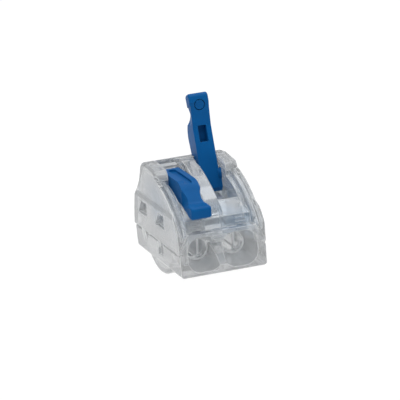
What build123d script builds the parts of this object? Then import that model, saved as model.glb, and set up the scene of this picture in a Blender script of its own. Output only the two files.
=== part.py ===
from build123d import *
import math
import os

# Two-pole lever wire connector, in millimetres.
# X runs across the two poles, wires enter at -Y and travel towards +Y, +Z is up.
# The shapes are drawn with the front face at y = 0 and the flat underside at z = 0, and to_part()
# then moves them so that the origin is under the middle of the connector, at its lowest point.
# Side outlines are drawn as (y, z) points.

# --- driving dimensions -------------------------------------------------------------------------
WIDTH = 13.6
DEPTH = 20.65
TAB_OVERHANG = 0.15          # how far the finger tab of a closed lever stands out of the front
BELLY_DROP = 1.95            # how far the round belly hangs below the flat underside
POLE_OFFSET = 2.85           # pole centre from the middle of the connector
SIDES = (-1, 1)

# walls and gaps across the connector, as half widths from the middle
SKIRT_OUT = WIDTH / 2
SKIRT_UPPER_OUT = 6.55
SKIRT_IN = 5.95
FIT_GAP = 0.05
FIN_OUT = SKIRT_IN - FIT_GAP
FOOT_OUT = 6.7
FOOT_EDGE_R = 0.45
CHANNEL_OUT = 5.1
CHANNEL_IN = 1.25
SLOT_OUT = 4.55              # the narrow stretch of each channel, where the lever turns
SLOT_FRONT_Y = 9.3

# lever
LEVER_WIDTH = 2.9
LEVER_SWING = 114.0          # degrees between closed and open
PIVOT_Y = 12.15
PIVOT_Z = 11.4
TRUNNION_R = 0.95
TRUNNION_FIT = 0.05
TRUNNION_IN = 1.0            # inner and outer end faces of the trunnions, from the middle
TRUNNION_OUT = 5.05
POCKET_END_GAP = 0.07
TAB_WIDTH = 3.1
ROOT_FLARE = 0.2             # how far the root of the lever is wider on its outer side

# wire entries
PORT_CENTRE_Z = 3.15
FUNNEL_OFFSET = 2.75
FUNNEL_WIDTH = 5.4
FUNNEL_HEIGHT = 5.3
FUNNEL_CORNER_R = 2.0
FUNNEL_DEPTH = 3.7
THROAT_R = 1.55
FRONT_TOP_Z = 6.45

# front frame, whose upper corners are cut off for the tips of the hood
FRAME_DEPTH = 1.5
FRAME_CORNER = (FOOT_OUT, 3.85)
FRAME_SHOULDER = (5.25, FRONT_TOP_Z)

# chambers behind the wire entries
CHAMBER_FRONT_Y = 5.2
CHAMBER_BACK_Y = 16.6
BELLY_CENTRE_Y = 10.9
BELLY_R = 7.6
SHELL = 0.85

# metal parts
BAR_THICK = 0.7
BAR_Z = 5.65
STRIP_THICK = 0.35
SPRING_WIDTH = 2.5
SPRING_FRONT_Y = 6.5
SPRING_BACK_Y = 15.6
SPRING_BOTTOM_Z = -0.2
SPRING_TOP_Z = 9.6
SPRING_PRESSED = 1.2         # how far an open lever presses its spring down

BELLY_CENTRE_Z = BELLY_R - BELLY_DROP
MIDDLE_Y = (DEPTH - TAB_OVERHANG) / 2
POLES = {"left": -POLE_OFFSET, "right": POLE_OFFSET}


# --- helpers ------------------------------------------------------------------------------------
def to_part(shape):
    return Pos(0, -MIDDLE_Y, BELLY_DROP) * shape


def side_extrusion(outline, x_low, x_high):
    """A prism across the connector, from a closed list of edges drawn as (y, z)."""
    face = Plane.YZ * make_face(outline)
    return Pos(x_low, 0, 0) * extrude(face, amount=x_high - x_low, dir=(1, 0, 0))


def polygon(points):
    return [Polyline(*points, close=True)]


def side_block(y_low, y_high, z_low, z_high, x_low, x_high):
    return Pos((x_low + x_high) / 2, (y_low + y_high) / 2, (z_low + z_high) / 2) * Box(
        x_high - x_low, y_high - y_low, z_high - z_low
    )


def cross_cylinder(radius, y, z, x_low, x_high):
    """A cylinder along X."""
    return Pos((x_low + x_high) / 2, y, z) * Rot(0, 90, 0) * Cylinder(radius, x_high - x_low)


def front_extrusion(points, y_low, y_high):
    """A prism along the connector, from a closed polygon drawn as (x, z)."""
    plane = Plane(origin=(0, y_high, 0), x_dir=(1, 0, 0), z_dir=(0, -1, 0))
    face = plane * make_face(Polyline(*points, close=True))
    return extrude(face, amount=y_high - y_low, dir=(0, -1, 0))


def mirrored_if_left(side, shape):
    return mirror(shape, about=Plane.YZ) if side < 0 else shape


def edges_near(shape, test):
    return [edge for edge in shape.edges() if test(edge)]


def soften(shape, edges, radius):
    """Round the edges, with a smaller radius where the full one does not fit."""
    for factor in (1.0, 0.6, 0.3):
        try:
            rounded = fillet(edges, radius * factor)
        except (ValueError, RuntimeError):
            continue
        if rounded.is_valid:
            return rounded
    return shape


# --- outlines shared by the two housing parts ---------------------------------------------------
CHEEK_FRONT = (0.1, 6.5)
CHEEK_MIDDLE = (4.4, 10.6)
CHEEK_TOP = (9.2, 12.66)
SKIRT_BOTTOM_Z = 3.45
SKIRT_STEP_Z = 9.0
ROOF_CORNER = (9.5, 13.55)
ROOF_FRONT = (10.7, 14.0)
ROOF_TOP = (13.8, 14.3)
ROOF_REAR = (15.7, 14.1)
BACK_CORNER = (16.6, 13.5)
BACK_SHOULDER = (17.0, 12.65)
BACK_STEP_IN = (18.9, 9.3)
BACK_STEP_OUT = (19.3, 8.85)
BACK_MIDDLE = (20.2, 5.95)
BACK_FOOT = (DEPTH, SKIRT_BOTTOM_Z)
WALL_FOOT = (19.75, SKIRT_BOTTOM_Z)
WALL_STEP = (18.15, 8.9)
WALL_SHOULDER = (16.25, 12.2)
ROOF_UNDER_REAR = (15.3, 13.3)
ROOF_UNDER_TOP = (13.8, 13.45)
ROOF_UNDER_FRONT = (10.7, 13.1)
LIP_UNDER = (9.15, 12.6)
LEVER_SLOT_END_Y = 15.5
MIDDLE_ROOF_FRONT = 13.8     # where the roof of the hood begins between the levers


def hood_outline():
    """Side view of the whole hood."""
    return [
        Polyline(
            CHEEK_FRONT,
            (CHEEK_FRONT[0], SKIRT_BOTTOM_Z),
            BACK_FOOT,
            BACK_MIDDLE,
            BACK_STEP_OUT,
            BACK_STEP_IN,
            BACK_SHOULDER,
        ),
        ThreePointArc(BACK_SHOULDER, BACK_CORNER, ROOF_REAR),
        Polyline(ROOF_REAR, ROOF_TOP, ROOF_FRONT),
        ThreePointArc(ROOF_FRONT, ROOF_CORNER, CHEEK_TOP),
        ThreePointArc(CHEEK_TOP, CHEEK_MIDDLE, CHEEK_FRONT),
    ]


def hood_inside_outline():
    """Side view of the space under the hood's roof and in front of its back wall."""
    return polygon([
        (-1.0, SKIRT_BOTTOM_Z - 1.0),
        (WALL_FOOT[0], SKIRT_BOTTOM_Z - 1.0),
        WALL_FOOT,
        WALL_STEP,
        WALL_SHOULDER,
        ROOF_UNDER_REAR,
        ROOF_UNDER_TOP,
        ROOF_UNDER_FRONT,
        LIP_UNDER,
        (LIP_UNDER[0], ROOF_TOP[1] + 1.0),
        (-1.0, ROOF_TOP[1] + 1.0),
    ])


def fin_outline():
    """Side view of the fins, which stand up inside the hood and carry the levers."""
    fin_top = (LIP_UNDER[0], LIP_UNDER[1] - 0.1)
    return [
        ThreePointArc(CHEEK_FRONT, CHEEK_MIDDLE, fin_top),
        Polyline(
            fin_top,
            (ROOF_UNDER_FRONT[0], ROOF_UNDER_FRONT[1] - 0.1),
            (ROOF_UNDER_TOP[0], ROOF_UNDER_TOP[1] - 0.1),
            (ROOF_UNDER_REAR[0] - 0.1, ROOF_UNDER_REAR[1] - 0.12),
            (WALL_SHOULDER[0] - 0.15, WALL_SHOULDER[1] - 0.1),
            (WALL_STEP[0] - 0.15, WALL_STEP[1]),
            (WALL_STEP[0] - 0.15, SKIRT_BOTTOM_Z - 0.1),
            (CHEEK_FRONT[0], SKIRT_BOTTOM_Z - 0.1),
            CHEEK_FRONT,
        ),
    ]


# --- base housing -------------------------------------------------------------------------------
WINDOW_FRONTS_Y = (6.2, 14.1)
LATCH_LENGTH = 3.2
LATCH_LOW_Z = 6.1
LATCH_HIGH_Z = 7.8
LATCH_OUT = 6.45
LEDGE_DEPTH = 0.75
NOSE_FRONT_Y = 1.75
RAMP_FOOT = (1.25, FRONT_TOP_Z)
RAMP_KNEE = (1.5, 8.0)
RAMP_TOP = (CHAMBER_FRONT_Y - 0.1, 9.5)
RIB_HEIGHTS = (6.48, 7.08, 7.68)
SIDE_POCKET_DEPTH = 0.45


def belly():
    """The round underside that houses the lower turn of the two springs."""
    half = FOOT_OUT - 0.4
    drum = cross_cylinder(BELLY_R, BELLY_CENTRE_Y, BELLY_CENTRE_Z, -half, half)
    rims = edges_near(drum, lambda e: abs(abs(e.center().X) - half) < 0.01)
    drum = soften(drum, rims, 0.5)
    return drum & side_block(0, DEPTH, -BELLY_DROP - 1, 1.0, -WIDTH, WIDTH)


def foot_block():
    """The full-width lower part of the base, under the edge of the hood."""
    outline = polygon([
        (0.0, 0.0),
        (19.9, 0.0),
        (20.15, 0.35),
        (20.5, SKIRT_BOTTOM_Z - FIT_GAP),
        (0.0, SKIRT_BOTTOM_Z - FIT_GAP),
    ])
    block = side_extrusion(outline, -FOOT_OUT, FOOT_OUT)
    sides = edges_near(block, lambda e: abs(e.center().X) > FOOT_OUT - 0.1 and e.length > DEPTH / 2)
    block = soften(block, [e for e in sides if e.center().Z < 0.01], FOOT_EDGE_R)
    seam = edges_near(block, lambda e: e.center().Z > SKIRT_BOTTOM_Z - 0.1 and e.length > DEPTH / 2)
    block = soften(block, seam, 0.3)
    corners = edges_near(block, lambda e: e.center().Y > 19.8 and abs(e.center().X) > FOOT_OUT - 0.1)
    return soften(block, corners, 0.6)


def side_pockets(side):
    """Two shallow recesses in the side of the foot block."""
    low, high = sorted((side * (FOOT_OUT - SIDE_POCKET_DEPTH), side * (FOOT_OUT + 1)))
    rear = polygon([(14.0, 3.6), (17.9, 3.6), (16.6, 1.85), (15.3, 1.85)])
    front = polygon([(7.7, 3.6), (10.2, 3.6), (10.2, 1.2), (7.7, 1.5)])
    return side_extrusion(rear, low, high) + side_extrusion(front, low, high)


def frame_profile(gap):
    """Front view of the frame round the wire entries, as (x, z) points."""
    half = [
        (FOOT_OUT + gap - FOOT_EDGE_R, 0.0),
        (FOOT_OUT + gap - FOOT_EDGE_R * 0.3, FOOT_EDGE_R * 0.3),
        (FOOT_OUT + gap, FOOT_EDGE_R),
        (FRAME_CORNER[0] + gap, FRAME_CORNER[1] + gap),
        (FRAME_SHOULDER[0] + gap, FRAME_SHOULDER[1] + gap),
    ]
    return half + [(-x, z) for x, z in reversed(half)]


def front_frame():
    frame = front_extrusion(frame_profile(0), 0, FRAME_DEPTH)
    rim = edges_near(frame, lambda e: abs(e.center().Y) < 0.01 and e.center().Z > 0.1)
    return soften(frame, rim, 0.25)


def front_block():
    """The wall behind the frame, with its sloping top in each lever channel."""
    outline = polygon([
        (0.3, 0.5),
        (0.3, FRONT_TOP_Z - 0.1),
        (RAMP_FOOT[0], FRONT_TOP_Z - 0.1),
        RAMP_KNEE,
        RAMP_TOP,
        (CHAMBER_FRONT_Y, 0.5),
    ])
    return side_extrusion(outline, -FRAME_SHOULDER[0], FRAME_SHOULDER[0])


def chamber(side):
    """The room for one pole's spring, open upwards into the lever channel."""
    upper = side_block(CHAMBER_FRONT_Y, CHAMBER_BACK_Y, 0.9, 16, CHANNEL_IN, CHANNEL_OUT)
    bearing = side_block(
        SLOT_FRONT_Y, CHAMBER_BACK_Y + 1, PIVOT_Z - 1.7, 17, SLOT_OUT, CHANNEL_OUT + 1
    )
    round_floor = cross_cylinder(
        BELLY_R - SHELL, BELLY_CENTRE_Y, BELLY_CENTRE_Z, CHANNEL_IN, CHANNEL_OUT
    )
    lower = round_floor & side_block(CHAMBER_FRONT_Y, CHAMBER_BACK_Y, -3, 2, -WIDTH, WIDTH)
    return mirrored_if_left(side, upper - bearing + lower)


def funnel(side):
    """One wire entry: a rounded square mouth that narrows to a round throat."""
    mouth_plane = Plane(
        origin=(FUNNEL_OFFSET, -0.01, PORT_CENTRE_Z), x_dir=(1, 0, 0), z_dir=(0, -1, 0)
    )
    mouth = mouth_plane * RectangleRounded(FUNNEL_WIDTH, FUNNEL_HEIGHT, FUNNEL_CORNER_R)
    inner_plane = Plane(
        origin=(POLE_OFFSET, FUNNEL_DEPTH, PORT_CENTRE_Z), x_dir=(1, 0, 0), z_dir=(0, -1, 0)
    )
    inner_size = 2 * THROAT_R + 0.3
    inner = inner_plane * RectangleRounded(inner_size, inner_size, inner_size / 2 - 0.05)
    cone = loft([mouth.face(), inner.face()], ruled=True)
    throat_length = CHAMBER_FRONT_Y - FUNNEL_DEPTH + 0.2
    throat_middle = (CHAMBER_FRONT_Y + FUNNEL_DEPTH) / 2
    throat = Pos(POLE_OFFSET, throat_middle, PORT_CENTRE_Z) * Rot(90, 0, 0) * Cylinder(
        THROAT_R, throat_length
    )
    return mirrored_if_left(side, cone + throat)


def web_cut():
    """The low front of the web between the wire entries, and the gap under the tongue."""
    slope = polygon([(-1.0, 0.9), (0.3, 1.3), (3.5, 3.9), (3.5, 4.3), (1.3, 4.3), (1.3, 5.75),
                     (-1.0, 5.75)])
    return side_extrusion(slope, -1.3, 1.3)


def test_slot():
    """The small opening for a test probe between the wire entries, above the low web."""
    return front_extrusion([(-0.95, 4.75), (0.95, 4.75), (0.6, 3.7), (-0.6, 3.7)], 1.6, BAR_FRONT_Y)


def trunnion_pockets(side):
    """Blind round seats in the two fins beside a lever, each with a slot to drop the lever in."""
    radius = TRUNNION_R + TRUNNION_FIT
    low = TRUNNION_IN - POCKET_END_GAP
    high = TRUNNION_OUT + POCKET_END_GAP
    seat = cross_cylinder(radius, PIVOT_Y, PIVOT_Z, low, high)
    slot = side_block(
        PIVOT_Y - radius * 0.86, PIVOT_Y + radius * 0.86, PIVOT_Z, PIVOT_Z + 4, low, high
    )
    return mirrored_if_left(side, seat + slot)


def latch(side, window_front_y):
    """A wedge on the side of the base that snaps into a window of the hood."""
    wedge = front_extrusion(
        [(FIN_OUT - 0.1, LATCH_LOW_Z), (LATCH_OUT, LATCH_LOW_Z), (FIN_OUT - 0.1, LATCH_HIGH_Z)],
        window_front_y + 0.35,
        window_front_y + 0.35 + LATCH_LENGTH,
    )
    return mirrored_if_left(side, wedge)


def channel_ribs(side):
    """Three small grooves in the front slope of a lever channel, on its outer half."""
    grooves = [
        side_block(0.8, 1.85, height - 0.13, height + 0.13, 2.75, 4.15) for height in RIB_HEIGHTS
    ]
    return mirrored_if_left(side, grooves[0] + grooves[1] + grooves[2])


def channel(side):
    """The open space above the sloping front, where a lever lies."""
    outline = polygon([
        (-1.0, FRONT_TOP_Z - 0.1),
        (RAMP_FOOT[0], FRONT_TOP_Z - 0.1),
        RAMP_KNEE,
        RAMP_TOP,
        (CHAMBER_FRONT_Y + 0.1, RAMP_TOP[1]),
        (CHAMBER_FRONT_Y + 0.1, 16),
        (-1.0, 16),
    ])
    return mirrored_if_left(side, side_extrusion(outline, CHANNEL_IN, CHANNEL_OUT))


def middle_fin_outline():
    """Side view of the middle fin, whose top runs smoothly up to the roof of the hood."""
    top = (MIDDLE_ROOF_FRONT - FIT_GAP, 14.15)
    return [
        ThreePointArc((1.0, 7.4), (6.2, 11.45), top),
        Polyline(
            top,
            (top[0], ROOF_UNDER_TOP[1] - 0.1),
            (ROOF_UNDER_REAR[0] - 0.1, ROOF_UNDER_REAR[1] - 0.12),
            (WALL_SHOULDER[0] - 0.15, WALL_SHOULDER[1] - 0.1),
            (WALL_STEP[0] - 0.15, WALL_STEP[1]),
            (WALL_STEP[0] - 0.15, SKIRT_BOTTOM_Z - 0.1),
            (1.0, SKIRT_BOTTOM_Z - 0.1),
            (1.0, 7.4),
        ),
    ]


def channel_step(side):
    """A lower step along the outer side of a channel, close beside the lever."""
    top = (SLOT_FRONT_Y + 0.1, 11.75)
    outline = [
        ThreePointArc((1.9, 7.4), (4.9, 10.0), top),
        Polyline(top, (top[0], 6.6), (1.9, 6.3), (1.9, 7.4)),
    ]
    return mirrored_if_left(side, side_extrusion(outline, SLOT_OUT, CHANNEL_OUT + 0.1))


def fin(outline, x_low, x_high, front_y, radius):
    """One wall beside a lever, with rounded upper edges."""
    wall = side_extrusion(outline, x_low, x_high)
    wall -= side_block(-1, front_y, FRONT_TOP_Z, 16, x_low - 1, x_high + 1)
    nose = edges_near(
        wall, lambda e: abs(e.center().Y - front_y) < 0.01 and e.center().Z > FRONT_TOP_Z + 0.5
        and e.bounding_box().size.X > 0.5
    )
    wall = soften(wall, nose, 1.2 * radius)
    rims = edges_near(
        wall, lambda e: e.bounding_box().size.X < 0.01 and e.center().Y < ROOF_UNDER_REAR[0]
        and e.center().Z > FRONT_TOP_Z + 0.1
    )
    return soften(wall, rims, radius)


def fins():
    """The three walls beside the levers, the bearing pads and the wall behind the springs."""
    middle = fin(middle_fin_outline(), -CHANNEL_IN, CHANNEL_IN, NOSE_FRONT_Y, 0.45)
    cheek = fin(fin_outline(), CHANNEL_OUT, FIN_OUT, LEDGE_DEPTH, 0.25)
    inside = side_extrusion(fin_outline(), -CHANNEL_OUT - 0.1, CHANNEL_OUT + 0.1)
    rear = inside & side_block(CHAMBER_BACK_Y, DEPTH, 0, 16, -WIDTH, WIDTH)
    walls = middle + cheek + mirror(cheek, about=Plane.YZ) + rear
    for side in SIDES:
        low, high = sorted((side * SLOT_OUT, side * WIDTH))
        walls += inside & side_block(SLOT_FRONT_Y, DEPTH, PIVOT_Z - 1.7, 16, low, high)
    return walls


def base_housing():
    base = foot_block() + belly() + front_frame() + front_block() + fins()
    for side in SIDES:
        base -= channel(side)
        base -= chamber(side)
        base += channel_step(side)
        base -= funnel(side)
        base -= channel_ribs(side)
        base -= side_pockets(side)
        base -= trunnion_pockets(side)
        base -= corner_above_frame(side)
        for front_y in WINDOW_FRONTS_Y:
            base += latch(side, front_y)
    # passage for the busbar through the wall between the two chambers
    base -= side_block(
        BAR_FRONT_Y - 0.1, BAR_BACK_Y + 0.1, BAR_Z - 0.1, BAR_Z + BAR_THICK + 0.1, -CHANNEL_IN - 1,
        CHANNEL_IN + 1,
    )
    base -= web_cut()
    base -= test_slot()
    return base


def corner_above_frame(side):
    """The triangle beside the frame's shoulder, which belongs to the tip of the hood."""
    corner = front_extrusion(
        [(FRAME_SHOULDER[0] + 0.02, FRONT_TOP_Z + 0.03), (FRAME_CORNER[0] + 0.05, FRAME_CORNER[1]),
         (FRAME_CORNER[0] + 0.05, 7.0), (FRAME_SHOULDER[0] + 0.02, 7.0)],
        -1, LEDGE_DEPTH,
    )
    return mirrored_if_left(side, corner)


# --- hood ---------------------------------------------------------------------------------------
WINDOW_LENGTH = 4.2
WINDOW_TOP_LENGTH = 2.4
WINDOW_LOW_Z = 5.9
WINDOW_HIGH_Z = 8.05
TIP_GROOVE_DEPTH = 0.7
TIP_GROOVE_OUT = 6.4
TIP_GROOVE_IN = 5.8


def snap_window(front_y):
    """A window through both skirts that catches a latch of the base."""
    outline = polygon([
        (front_y, WINDOW_LOW_Z),
        (front_y + WINDOW_LENGTH, WINDOW_LOW_Z),
        (front_y + WINDOW_TOP_LENGTH, WINDOW_HIGH_Z),
        (front_y, WINDOW_HIGH_Z),
    ])
    return side_extrusion(outline, -WIDTH, WIDTH)


def tip_fill(side):
    """The inner half of the hood's tip, beside the shoulder of the frame."""
    fill = front_extrusion(
        [(SKIRT_IN + 0.1, 4.0), (SKIRT_IN + 0.1, 7.6), (FRAME_SHOULDER[0] + 0.1, 6.9),
         (FRAME_SHOULDER[0] + 0.1, 6.0)],
        CHEEK_FRONT[0], LEDGE_DEPTH - FIT_GAP,
    )
    return mirrored_if_left(side, fill)


def tip_groove(side):
    """A groove along the front edge of a skirt that ends in a U at the tip."""
    shift_y, shift_z = TIP_GROOVE_DEPTH * 0.8, -TIP_GROOVE_DEPTH * 0.6
    points = [(y + shift_y, z + shift_z) for y, z in (CHEEK_FRONT, CHEEK_MIDDLE, CHEEK_TOP)]
    band = side_extrusion(
        [
            ThreePointArc(*points),
            Polyline(points[2], (points[2][0], 16), (-1, 16), (-1, 4), (points[0][0], 4), points[0]),
        ],
        0, WIDTH,
    )
    opening = front_extrusion(
        [(TIP_GROOVE_IN, 6.7), (TIP_GROOVE_OUT - 0.15, 5.55), (TIP_GROOVE_OUT, 5.7),
         (TIP_GROOVE_OUT, 12.2), (TIP_GROOVE_IN, 12.2)],
        -1, CHEEK_TOP[0] - 1.0,
    )
    return mirrored_if_left(side, band & opening)


def upper_side_cut(side):
    """Sets the upper part of a side in a little, over a short slope."""
    points = [
        (SKIRT_OUT + 0.02, SKIRT_STEP_Z - 0.6),
        (SKIRT_UPPER_OUT, SKIRT_STEP_Z + 0.15),
        (SKIRT_UPPER_OUT, 16),
        (WIDTH, 16),
        (WIDTH, SKIRT_STEP_Z - 0.6),
    ]
    return mirrored_if_left(side, front_extrusion(points, -1, DEPTH + 1))


def hood():
    outer = side_extrusion(hood_outline(), -SKIRT_OUT, SKIRT_OUT)
    seam = edges_near(outer, lambda e: e.center().Z < SKIRT_BOTTOM_Z + 0.1 and e.length > DEPTH / 2)
    outer = soften(outer, seam, 0.25)
    for side in SIDES:
        outer -= upper_side_cut(side)
    long_edges = edges_near(
        outer,
        lambda e: e.center().Z > SKIRT_STEP_Z + 0.3
        and abs(abs(e.center().X) - SKIRT_UPPER_OUT) < 0.01
        and e.center().Y > CHEEK_TOP[0] - 1,
    )
    outer = soften(outer, long_edges, 0.9)
    outer -= side_extrusion(hood_inside_outline(), -SKIRT_IN, SKIRT_IN)
    outer -= side_block(0, MIDDLE_ROOF_FRONT, 11.5, 16, -CHANNEL_IN - 0.1, CHANNEL_IN + 0.1)
    outer -= front_extrusion(frame_profile(FIT_GAP), -1, FRAME_DEPTH + FIT_GAP)
    for side in SIDES:
        fill = tip_fill(side) & side_extrusion(hood_outline(), -WIDTH, WIDTH)
        outer += fill - front_extrusion(frame_profile(FIT_GAP), -1, FRAME_DEPTH + FIT_GAP)
        outer -= tip_groove(side)
        low, high = sorted((side * CHANNEL_IN, side * SLOT_OUT))
        outer -= side_block(SLOT_FRONT_Y - 1, LEVER_SLOT_END_Y, 11.5, 16, low, high)
    for front_y in WINDOW_FRONTS_Y:
        outer -= snap_window(front_y)
    return outer


# --- levers -------------------------------------------------------------------------------------
LEVER_BACK = (13.55, 13.05)
LEVER_TOP = (10.1, 13.1)
LEVER_SHOULDER = (6.0, 13.1)
LEVER_NECK_TOP = (3.9, 12.0)
LEVER_NECK_LOW = (2.4, 10.65)
LEVER_TAB_BACK = (1.6, 10.4)
LEVER_TAB_TOP = (0.5, 10.35)
LEVER_TAB_FRONT = (-TAB_OVERHANG, 9.75)
LEVER_TAB_FOOT = (-TAB_OVERHANG, 9.1)
LEVER_TAB_LOW = (0.6, 8.5)
LEVER_UNDER_A = (1.3, 8.55)
LEVER_UNDER_B = (4.9, 9.85)
LEVER_ROOT_LOW = (14.2, 11.0)
LEVER_ROOT_END = (14.65, 11.7)
LEVER_ROOT_TOP = (14.45, 12.5)


def lever_outline():
    return [
        Line(LEVER_BACK, LEVER_TOP),
        Line(LEVER_TOP, LEVER_SHOULDER),
        ThreePointArc(LEVER_SHOULDER, (4.85, 12.75), LEVER_NECK_TOP),
        Line(LEVER_NECK_TOP, LEVER_NECK_LOW),
        ThreePointArc(LEVER_NECK_LOW, (2.05, 10.47), LEVER_TAB_BACK),
        Line(LEVER_TAB_BACK, LEVER_TAB_TOP),
        ThreePointArc(LEVER_TAB_TOP, (0.03, 10.2), LEVER_TAB_FRONT),
        Line(LEVER_TAB_FRONT, LEVER_TAB_FOOT),
        ThreePointArc(LEVER_TAB_FOOT, (0.05, 8.67), LEVER_TAB_LOW),
        Line(LEVER_TAB_LOW, LEVER_UNDER_A),
        ThreePointArc(LEVER_UNDER_A, (3.05, 9.25), LEVER_UNDER_B),
        Line(LEVER_UNDER_B, LEVER_ROOT_LOW),
        Line(LEVER_ROOT_LOW, LEVER_ROOT_END),
        Line(LEVER_ROOT_END, LEVER_ROOT_TOP),
        Line(LEVER_ROOT_TOP, LEVER_BACK),
    ]


def side_scoop(side):
    """The smooth waist behind the finger tab, on one side of the lever, deepest at its top."""
    depth = 0.22
    radius = 3.2
    place = (side * (LEVER_WIDTH / 2 + radius - depth), 3.2, 10.8)
    return Plane(origin=place, z_dir=(-side * 0.22, -0.67, 0.7)) * Cylinder(radius, 6.0)


def finger_tab():
    """The rounded end of the lever, a little wider than the blade behind it."""
    half = TAB_WIDTH / 2
    back_y = LEVER_TAB_BACK[0] + 0.1
    tab = side_extrusion(lever_outline(), -half, half) & side_block(-1, back_y, 0, 16, -half, half)
    rim = edges_near(tab, lambda e: abs(e.center().X) > half - 0.01 and e.center().Y < back_y - 0.01)
    return soften(tab, rim, 0.28)


def closed_lever(outer_side):
    """A lever in its closed position, centred on x = 0."""
    half = LEVER_WIDTH / 2
    blade = side_extrusion(lever_outline(), -half, half)
    blade -= side_block(-1, LEVER_TAB_BACK[0], 0, 16, -half - 0.1, half + 0.1)
    for side in SIDES:
        blade -= side_scoop(side)
    blade += finger_tab()
    blade += root_flare(half, outer_side)
    blade -= top_groove()
    blade -= under_pocket()
    blade -= ejector_mark()
    return blade


def root_flare(half, outer_side):
    """The outer side of the root, a little wider than the blade in front of it."""
    low, high = sorted((outer_side * (half - 0.1), outer_side * (half + ROOT_FLARE)))
    root = side_block(PIVOT_Y - 0.6, DEPTH, 0, 16, low, high)
    return side_extrusion(lever_outline(), low, high) & root


def top_groove():
    """A shallow round-ended groove along the top of the lever."""
    plan = Plane(origin=(0, 8.6, 12.75), x_dir=(0, 1, 0), z_dir=(0, 0, 1))
    return extrude(plan * SlotOverall(8.4, 1.15), amount=2.0)


def under_pocket():
    """A rectangular pocket in the underside, at the middle of the lever."""
    plan = Plane(origin=(0, 6.1, 9.3), x_dir=(1, 0, 0), z_dir=(0, -0.23, 0.973))
    return extrude(plan * Rectangle(1.35, 2.5), amount=1.9)


def ejector_mark():
    """A shallow round mark on the underside of the finger tab, with a finer ring round it."""
    plan = Plane(origin=(0, 1.9, 8.4), x_dir=(1, 0, 0), z_dir=(0, -0.39, 0.921))
    ring = Circle(0.85) - Circle(0.72)
    return extrude(plan * ring, amount=0.7) + extrude(plan * Circle(0.8), amount=0.42)


def lever(pole_x, opened):
    side = math.copysign(1, pole_x)
    shape = Pos(pole_x, 0, 0) * closed_lever(side)
    inner_face = POLE_OFFSET - LEVER_WIDTH / 2
    outer_face = POLE_OFFSET + LEVER_WIDTH / 2
    for start, end in ((TRUNNION_IN, inner_face + 0.2), (outer_face - 0.2, TRUNNION_OUT)):
        low, high = sorted((side * start, side * end))
        shape += cross_cylinder(TRUNNION_R, PIVOT_Y, PIVOT_Z, low, high)
    axis = Axis((0, PIVOT_Y, PIVOT_Z), (1, 0, 0))
    return shape.rotate(axis, -LEVER_SWING if opened else 0)


# --- metal parts --------------------------------------------------------------------------------
BAR_FRONT_Y = 7.3
BAR_BACK_Y = 9.9
BAR_HALF_WIDTH = 4.7
FINGER_FRONT_Y = 5.4
FINGER_HALF_WIDTH = 0.85


def busbar():
    """One plate that joins both poles, with a finger reaching forward over each wire."""
    top = BAR_Z + BAR_THICK
    bar = side_block(BAR_FRONT_Y, BAR_BACK_Y, BAR_Z, top, -BAR_HALF_WIDTH, BAR_HALF_WIDTH)
    for pole_x in POLES.values():
        bar += side_block(
            FINGER_FRONT_Y, BAR_FRONT_Y + 0.1, BAR_Z, top, pole_x - FINGER_HALF_WIDTH,
            pole_x + FINGER_HALF_WIDTH,
        )
    return bar


def clamp_spring(pole_x, pressed):
    """A bent strip: a front leg with a window round the busbar and wire, and a round back."""
    top = SPRING_TOP_Z - (SPRING_PRESSED if pressed else 0)
    length = SPRING_BACK_Y - SPRING_FRONT_Y
    height = top - SPRING_BOTTOM_Z
    centre = ((SPRING_FRONT_Y + SPRING_BACK_Y) / 2, (top + SPRING_BOTTOM_Z) / 2)
    back_r = 2.6
    ring = RectangleRounded(length, height, back_r) - RectangleRounded(
        length - 2 * STRIP_THICK, height - 2 * STRIP_THICK, back_r - STRIP_THICK
    )
    face = Plane.YZ * (Pos(*centre) * ring)
    half = SPRING_WIDTH / 2
    strip = Pos(-half, 0, 0) * extrude(face, amount=SPRING_WIDTH, dir=(1, 0, 0))
    leg_top = SPRING_BOTTOM_Z + height * 0.815
    strip -= side_block(SPRING_FRONT_Y - 1, 9.4, leg_top, top + 1, -half - 1, half + 1)
    window_low = SPRING_BOTTOM_Z + height * 0.09
    window_high = SPRING_BOTTOM_Z + height * 0.775
    strip -= side_block(SPRING_FRONT_Y - 1, 8.2, window_low, window_high, -1.0, 1.0)
    return Pos(pole_x, 0, 0) * strip


# --- nodes --------------------------------------------------------------------------------------
os.makedirs("parts", exist_ok=True)
export_step(to_part(base_housing()), "parts/base_housing.step")
export_step(to_part(hood()), "parts/hood.step")
export_step(to_part(lever(POLES["left"], opened=False)), "parts/lever_left.step")
export_step(to_part(lever(POLES["right"], opened=True)), "parts/lever_right.step")
export_step(to_part(busbar()), "parts/busbar.step")
export_step(to_part(clamp_spring(POLES["left"], pressed=False)), "parts/clamp_spring_left.step")
export_step(to_part(clamp_spring(POLES["right"], pressed=True)), "parts/clamp_spring_right.step")
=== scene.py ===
import math

import bpy
from mathutils import Matrix, Vector


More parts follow.
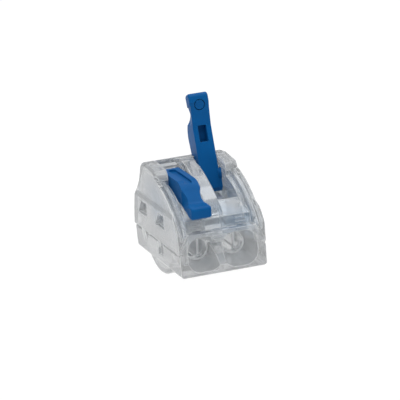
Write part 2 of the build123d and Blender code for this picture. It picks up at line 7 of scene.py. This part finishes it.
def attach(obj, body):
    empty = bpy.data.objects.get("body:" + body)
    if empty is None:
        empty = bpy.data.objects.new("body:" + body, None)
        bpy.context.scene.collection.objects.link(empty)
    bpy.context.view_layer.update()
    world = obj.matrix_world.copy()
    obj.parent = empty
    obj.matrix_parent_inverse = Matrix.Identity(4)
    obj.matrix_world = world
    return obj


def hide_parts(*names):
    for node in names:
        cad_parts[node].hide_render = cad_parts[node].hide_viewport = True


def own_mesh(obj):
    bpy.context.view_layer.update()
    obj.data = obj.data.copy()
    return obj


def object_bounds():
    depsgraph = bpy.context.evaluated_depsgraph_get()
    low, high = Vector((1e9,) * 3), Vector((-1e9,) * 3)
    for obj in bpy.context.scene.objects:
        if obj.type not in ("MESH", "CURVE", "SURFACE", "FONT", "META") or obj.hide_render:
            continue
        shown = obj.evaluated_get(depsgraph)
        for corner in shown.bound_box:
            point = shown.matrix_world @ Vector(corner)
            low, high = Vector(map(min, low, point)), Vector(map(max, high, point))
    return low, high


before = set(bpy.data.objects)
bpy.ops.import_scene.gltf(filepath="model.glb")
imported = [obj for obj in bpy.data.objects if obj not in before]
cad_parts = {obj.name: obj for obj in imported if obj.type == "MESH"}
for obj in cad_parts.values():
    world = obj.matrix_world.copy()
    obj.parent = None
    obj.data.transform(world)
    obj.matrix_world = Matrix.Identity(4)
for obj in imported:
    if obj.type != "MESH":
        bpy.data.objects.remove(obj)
cad_low, cad_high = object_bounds()

MM = 0.001

# --- camera -------------------------------------------------------------------------------------
CAMERA_AZIMUTH = -18.5       # degrees, seen from the left of the front
CAMERA_ELEVATION = 15.8      # degrees
CAMERA_ROLL = 4.5            # degrees, in place of the lean of the connector on its round belly
CAMERA_DISTANCE = 0.400
CAMERA_LENS = 241.4          # mm, for a sensor of the width below
CAMERA_SENSOR = 36.0
CAMERA_CLIP = (0.01, 10.0)   # nearest and furthest that it sees
CAMERA_TARGET = Vector((0.30, -0.56, 10.53)) * MM


def make_camera():
    azimuth, elevation = math.radians(CAMERA_AZIMUTH), math.radians(CAMERA_ELEVATION)
    back = Vector((
        math.sin(azimuth) * math.cos(elevation),
        -math.cos(azimuth) * math.cos(elevation),
        math.sin(elevation),
    ))
    data = bpy.data.cameras.new("camera")
    data.lens = CAMERA_LENS
    data.sensor_width = CAMERA_SENSOR
    data.clip_start, data.clip_end = CAMERA_CLIP
    camera = bpy.data.objects.new("camera", data)
    bpy.context.scene.collection.objects.link(camera)
    turn = (-back).to_track_quat("-Z", "Y").to_matrix().to_4x4()
    roll = Matrix.Rotation(math.radians(-CAMERA_ROLL), 4, "Z")
    camera.matrix_world = Matrix.Translation(CAMERA_TARGET + back * CAMERA_DISTANCE) @ turn @ roll
    bpy.context.scene.camera = camera


# --- shader nodes, each function returns the socket with its result ------------------------------
def colour_ramp(nodes, links, value, stops):
    """The colour for a value, between stops that are a place from 0 to 1 and a colour."""
    ramp = nodes.new("ShaderNodeValToRGB")
    elements = ramp.color_ramp.elements
    while len(elements) < len(stops):
        elements.new(0.5)
    for element, (place, colour) in zip(elements, stops):
        element.position = place
        element.color = (*colour, 1)
    links.new(value, ramp.inputs["Fac"])
    return ramp.outputs["Color"]


def mapped(nodes, links, value, source=(0.0, 1.0), target=(0.0, 1.0)):
    """The value carried from the source range to the target range, and kept inside it."""
    node = nodes.new("ShaderNodeMapRange")
    node.inputs["From Min"].default_value, node.inputs["From Max"].default_value = source
    node.inputs["To Min"].default_value, node.inputs["To Max"].default_value = target
    links.new(value, node.inputs["Value"])
    return node.outputs["Result"]


def calculated(nodes, links, operation, *terms):
    """The result of an operation on terms that are plain numbers or sockets."""
    node = nodes.new("ShaderNodeMath")
    node.operation = operation
    for place, term in zip(node.inputs, terms):
        if isinstance(term, float):
            place.default_value = term
        else:
            links.new(term, place)
    return node.outputs["Value"]


def blended(nodes, links, amount, start, end_colour):
    """The start socket's colour where the amount is 0, and the fixed end colour where it is 1."""
    mix = nodes.new("ShaderNodeMix")
    mix.data_type = "RGBA"
    mix.inputs["B"].default_value = (*end_colour, 1)
    links.new(amount, mix.inputs["Factor"])
    links.new(start, mix.inputs["A"])
    return mix.outputs["Result"]


def noise(nodes, links, scale, detail, distortion=0.0):
    """Unevenness that stays fixed to the piece."""
    coords = nodes.new("ShaderNodeTexCoord")
    texture = nodes.new("ShaderNodeTexNoise")
    texture.inputs["Scale"].default_value = scale
    texture.inputs["Detail"].default_value = detail
    texture.inputs["Distortion"].default_value = distortion
    links.new(coords.outputs["Object"], texture.inputs["Vector"])
    return texture.outputs["Fac"]


# --- lights, floor and world --------------------------------------------------------------------
LIGHT_TARGET = Vector((0.0, 0.0, 0.008))
SOFTBOXES = (                # name, place, size and power
    ("top_softbox", (0.0, 0.0, 0.30), (0.42, 0.42), 0.95),
    ("left_softbox", (-0.30, -0.12, 0.16), (0.10, 0.20), 0.13),
    ("right_softbox", (0.28, -0.20, 0.14), (0.10, 0.20), 0.16),
)
WORLD_COLOURS = (            # height of a direction, from 0 level to 1 straight up, and colour there
    (0.0, (0.50, 0.51, 0.53)),
    (0.7, (1.0, 1.0, 1.0)),
)
WORLD_STRENGTH = 0.58
FLOOR_HALF = 0.6
FLOOR_GAP = 0.02 * MM        # the floor lies this far below the connector
FLOOR_COLOUR = (0.06, 0.06, 0.06)
FLOOR_ROUGHNESS = 0.8
FLOOR_GLOW = 0.97            # the floor is pale because it glows, so shadows hardly show on it
WHITE = (1, 1, 1, 1)


def make_lights():
    for name, place, size, power in SOFTBOXES:
        data = bpy.data.lights.new(name, "AREA")
        data.shape = "RECTANGLE"
        data.size, data.size_y = size
        data.energy = power
        light = bpy.data.objects.new(name, data)
        light.location = place
        light.rotation_mode = "QUATERNION"
        light.rotation_quaternion = (LIGHT_TARGET - Vector(place)).to_track_quat("-Z", "Y")
        bpy.context.scene.collection.objects.link(light)


def make_world():
    """Light from all round, darker at the level of the floor."""
    world = bpy.data.worlds.new("studio")
    world.use_nodes = True
    nodes, links = world.node_tree.nodes, world.node_tree.links
    background = nodes["Background"]
    coords = nodes.new("ShaderNodeTexCoord")
    split = nodes.new("ShaderNodeSeparateXYZ")
    links.new(coords.outputs["Generated"], split.inputs[0])
    sky = colour_ramp(nodes, links, split.outputs["Z"], WORLD_COLOURS)
    links.new(sky, background.inputs["Color"])
    background.inputs["Strength"].default_value = WORLD_STRENGTH
    bpy.context.scene.world = world


def make_floor():
    mesh = bpy.data.meshes.new("floor")
    half = FLOOR_HALF
    corners = [(-half, -half, 0), (half, -half, 0), (half, half, 0), (-half, half, 0)]
    mesh.from_pydata(corners, [], [(0, 1, 2, 3)])
    floor = bpy.data.objects.new("floor", mesh)
    bpy.context.scene.collection.objects.link(floor)
    floor.location.z = cad_low.z - FLOOR_GAP
    paint = bpy.data.materials.new("pale_floor")
    paint.use_nodes = True
    shader = paint.node_tree.nodes["Principled BSDF"]
    shader.inputs["Base Color"].default_value = (*FLOOR_COLOUR, 1)
    shader.inputs["Roughness"].default_value = FLOOR_ROUGHNESS
    shader.inputs["Specular IOR Level"].default_value = 0.0
    shader.inputs["Emission Color"].default_value = WHITE
    shader.inputs["Emission Strength"].default_value = FLOOR_GLOW
    mesh.materials.append(paint)


# --- what the materials share -------------------------------------------------------------------
BUMP_DETAIL = 4.0
BEVEL_SAMPLES = 6
EDGE_LIKENESS = (0.995, 0.90)    # likeness of the softened and the true normal, on faces and along edges


def new_material(name):
    material = bpy.data.materials.new(name)
    material.use_nodes = True
    tree = material.node_tree
    return material, tree.nodes, tree.links, tree.nodes["Principled BSDF"]


def fine_bump(nodes, links, shader, scale, strength, depth):
    """Very fine unevenness, as moulded plastic and bare metal have. Returns the bump node."""
    bump = nodes.new("ShaderNodeBump")
    bump.inputs["Strength"].default_value = strength
    bump.inputs["Distance"].default_value = depth
    links.new(noise(nodes, links, scale, BUMP_DETAIL), bump.inputs["Height"])
    links.new(bump.outputs["Normal"], shader.inputs["Normal"])
    return bump


def soft_edges_and_highlight_mask(nodes, links, bump, radius):
    """Edges catch the light as if they had this radius. Returns 1 along them and 0 on faces, a mask for
    the painted highlight along edges.
    """
    bevel = nodes.new("ShaderNodeBevel")
    bevel.samples = BEVEL_SAMPLES
    bevel.inputs["Radius"].default_value = radius
    links.new(bevel.outputs["Normal"], bump.inputs["Normal"])
    surface = nodes.new("ShaderNodeNewGeometry")
    likeness = nodes.new("ShaderNodeVectorMath")
    likeness.operation = "DOT_PRODUCT"
    links.new(bevel.outputs["Normal"], likeness.inputs[0])
    links.new(surface.outputs["Normal"], likeness.inputs[1])
    return mapped(nodes, links, likeness.outputs["Value"], source=EDGE_LIKENESS)


# --- clear plastic ------------------------------------------------------------------------------
CLEAR_IOR = 1.55
CLEAR_BUMP = (450.0, 0.10, 0.06 * MM)        # scale, strength and depth
CLEAR_EDGE_RADIUS = 0.16 * MM
CLEAR_FLOW_MARKS = (420.0, 3.0, 1.5)         # scale, detail and distortion
CLEAR_TINTS = (                              # value of the flow marks and colour there
    (0.3, (0.65, 0.66, 0.665)),
    (0.7, (0.78, 0.79, 0.795)),
)
# painted highlight: whiter colour along the edges of the clear plastic
CLEAR_PAINTED_HIGHLIGHT = (0.97, 0.98, 0.985)
CLEAR_ROUGHNESS = (0.04, 0.16)               # least and most, with the flow marks
CLEAR_TRANSMISSION = (0.77, 0.30)            # on faces and along edges, lower along edges for the painted highlight
CLEAR_SHADOW = (0.80, 0.81, 0.82)            # light that goes on through the plastic in its shadow

PAINTED_BLUE_REFLECTION = (0.36, 0.48, 0.62)               # painted blue reflection: colour painted into the plastic around the levers in place of their blue light
PAINTED_BLUE_REFLECTION_TOP = 20.0 * MM
PAINTED_BLUE_REFLECTION_BY_HEIGHT = (                      # share of the top and amount there
    (0.32, 0.0),
    (0.46, 1.0),
    (0.64, 1.0),
    (0.76, 0.10),
)
PAINTED_BLUE_REFLECTION_STREAKS = (130.0, 1.0, 0.6)        # scale, detail and distortion
PAINTED_BLUE_REFLECTION_PATCHES = (0.30, 0.65)             # values of the streaks from which it starts and is full
PAINTED_BLUE_REFLECTION_SIDES = (5.0 * MM, 6.2 * MM)       # it fades between these distances from the middle
PAINTED_BLUE_REFLECTION_REAR = (2.5 * MM, 6.0 * MM)        # and between these distances behind the middle
PAINTED_BLUE_REFLECTION_OUTSIDE = 0.25                     # what is left of it beyond each of them


def painted_blue_reflection(nodes, links):
    """How much painted blue reflection of the levers goes into the plastic's colour: soft streaks at the
    height of the levers.
    """
    coords = nodes.new("ShaderNodeTexCoord")
    split = nodes.new("ShaderNodeSeparateXYZ")
    links.new(coords.outputs["Object"], split.inputs[0])
    share = calculated(nodes, links, "DIVIDE", split.outputs["Z"], PAINTED_BLUE_REFLECTION_TOP)
    greys = [(place, (amount,) * 3) for place, amount in PAINTED_BLUE_REFLECTION_BY_HEIGHT]
    by_height = colour_ramp(nodes, links, share, greys)
    streaks = noise(nodes, links, *PAINTED_BLUE_REFLECTION_STREAKS)
    patches = mapped(nodes, links, streaks, source=PAINTED_BLUE_REFLECTION_PATCHES)
    reflection_amount = calculated(nodes, links, "MULTIPLY", by_height, patches)
    aside = calculated(nodes, links, "ABSOLUTE", split.outputs["X"])
    behind = split.outputs["Y"]
    for distance, fade in ((aside, PAINTED_BLUE_REFLECTION_SIDES), (behind, PAINTED_BLUE_REFLECTION_REAR)):
        left_over = mapped(nodes, links, distance, source=fade, target=(1.0, PAINTED_BLUE_REFLECTION_OUTSIDE))
        reflection_amount = calculated(nodes, links, "MULTIPLY", reflection_amount, left_over)
    return reflection_amount


def let_light_through(nodes, links, shader):
    """The plastic throws a pale shadow, since light passes straight through it."""
    passing = nodes.new("ShaderNodeBsdfTransparent")
    passing.inputs["Color"].default_value = (*CLEAR_SHADOW, 1)
    path = nodes.new("ShaderNodeLightPath")
    mix = nodes.new("ShaderNodeMixShader")
    links.new(path.outputs["Is Shadow Ray"], mix.inputs["Fac"])
    links.new(shader.outputs["BSDF"], mix.inputs[1])
    links.new(passing.outputs["BSDF"], mix.inputs[2])
    links.new(mix.outputs["Shader"], nodes["Material Output"].inputs["Surface"])


def clear_plastic(name):
    """Clear plastic with flow marks, a little haze, a painted blue reflection of the levers, and edges
    softened to catch the light with a painted highlight along them.
    """
    material, nodes, links, shader = new_material(name)
    shader.inputs["IOR"].default_value = CLEAR_IOR
    bump = fine_bump(nodes, links, shader, *CLEAR_BUMP)
    edge_highlight_mask = soft_edges_and_highlight_mask(nodes, links, bump, CLEAR_EDGE_RADIUS)
    flow_marks = noise(nodes, links, *CLEAR_FLOW_MARKS)
    tint = colour_ramp(nodes, links, flow_marks, CLEAR_TINTS)
    # painted blue reflection of the levers mixed into the colour
    with_painted_reflection = blended(nodes, links, painted_blue_reflection(nodes, links), tint, PAINTED_BLUE_REFLECTION)
    # painted highlight: whiter colour along edges
    highlighted_colour = blended(nodes, links, edge_highlight_mask, with_painted_reflection, CLEAR_PAINTED_HIGHLIGHT)
    links.new(highlighted_colour, shader.inputs["Base Color"])
    haze = mapped(nodes, links, flow_marks, target=CLEAR_ROUGHNESS)
    links.new(haze, shader.inputs["Roughness"])
    # less see-through along edges, part of the painted highlight
    see_through = mapped(nodes, links, edge_highlight_mask, target=CLEAR_TRANSMISSION)
    links.new(see_through, shader.inputs["Transmission Weight"])
    let_light_through(nodes, links, shader)
    return material


# --- blue plastic and metals --------------------------------------------------------------------
BLUE_IOR = 1.5
BLUE_ROUGHNESS = 0.38
BLUE_SPECULAR = 0.08
BLUE_BUMP = (2600.0, 0.25, 0.02 * MM)        # scale, strength and depth
BLUE_EDGE_RADIUS = 0.14 * MM
BLUE_MOTTLE = (260.0, 5.0)                   # scale and detail
BLUE_TINTS = (                               # value of the mottle and colour there
    (0.35, (0.001, 0.078, 0.252)),
    (0.7, (0.002, 0.094, 0.295)),
)
# painted highlight: lighter blue along the edges of the levers
BLUE_PAINTED_HIGHLIGHT = (0.006, 0.115, 0.345)

METAL_BUMP = (1800.0, 0.3, 0.02 * MM)        # scale, strength and depth
COPPER_COLOUR = (0.80, 0.79, 0.76)           # copper under a coat of tin
COPPER_ROUGHNESS = 0.35
STEEL_COLOUR = (0.86, 0.86, 0.87)
STEEL_ROUGHNESS = 0.48


def blue_plastic():
    """Opaque blue plastic, slightly mottled, with a painted highlight that makes it a little lighter
    along its edges.
    """
    material, nodes, links, shader = new_material("blue_plastic")
    shader.inputs["IOR"].default_value = BLUE_IOR
    shader.inputs["Roughness"].default_value = BLUE_ROUGHNESS
    shader.inputs["Specular IOR Level"].default_value = BLUE_SPECULAR
    bump = fine_bump(nodes, links, shader, *BLUE_BUMP)
    edge_highlight_mask = soft_edges_and_highlight_mask(nodes, links, bump, BLUE_EDGE_RADIUS)
    tint = colour_ramp(nodes, links, noise(nodes, links, *BLUE_MOTTLE), BLUE_TINTS)
    # painted highlight: lighter blue along edges
    highlighted_colour = blended(nodes, links, edge_highlight_mask, tint, BLUE_PAINTED_HIGHLIGHT)
    links.new(highlighted_colour, shader.inputs["Base Color"])
    return material


def metal(name, colour, roughness):
    material, nodes, links, shader = new_material(name)
    shader.inputs["Base Color"].default_value = (*colour, 1)
    shader.inputs["Metallic"].default_value = 1.0
    shader.inputs["Roughness"].default_value = roughness
    fine_bump(nodes, links, shader, *METAL_BUMP)
    return material


def give_material(node, material):
    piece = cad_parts[node]
    piece.data.materials.clear()
    piece.data.materials.append(material)


def paint_nodes():
    blue = blue_plastic()
    steel = metal("spring_steel", STEEL_COLOUR, STEEL_ROUGHNESS)
    give_material("base_housing", clear_plastic("clear_base"))
    give_material("hood", clear_plastic("clear_hood"))
    for side in ("left", "right"):
        give_material(f"lever_{side}", blue)
        give_material(f"clamp_spring_{side}", steel)
    give_material("busbar", metal("tinned_copper", COPPER_COLOUR, COPPER_ROUGHNESS))


def pressable_spring():
    """The left spring as a piece of its own in place of its CAD node, attached to the housing."""
    node = "clamp_spring_left"
    spring = bpy.data.objects.new("pressable_spring_left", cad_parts[node].data.copy())
    bpy.context.scene.collection.objects.link(spring)
    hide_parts(node)
    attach(spring, "housing")
    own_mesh(spring)


# --- rendering ----------------------------------------------------------------------------------
MAX_BOUNCES = 24                 # enough for light to get in and out of the nested clear walls
TRANSMISSION_BOUNCES = 20
TRANSPARENT_BOUNCES = 16
INDIRECT_CLAMP = 4.0


def set_look():
    scene = bpy.context.scene
    scene.view_settings.view_transform = "Standard"
    scene.cycles.max_bounces = MAX_BOUNCES
    scene.cycles.transmission_bounces = TRANSMISSION_BOUNCES
    scene.cycles.transparent_max_bounces = TRANSPARENT_BOUNCES
    scene.cycles.caustics_refractive = True
    scene.cycles.sample_clamp_indirect = INDIRECT_CLAMP


make_camera()
make_world()
make_lights()
make_floor()
paint_nodes()
pressable_spring()
set_look()
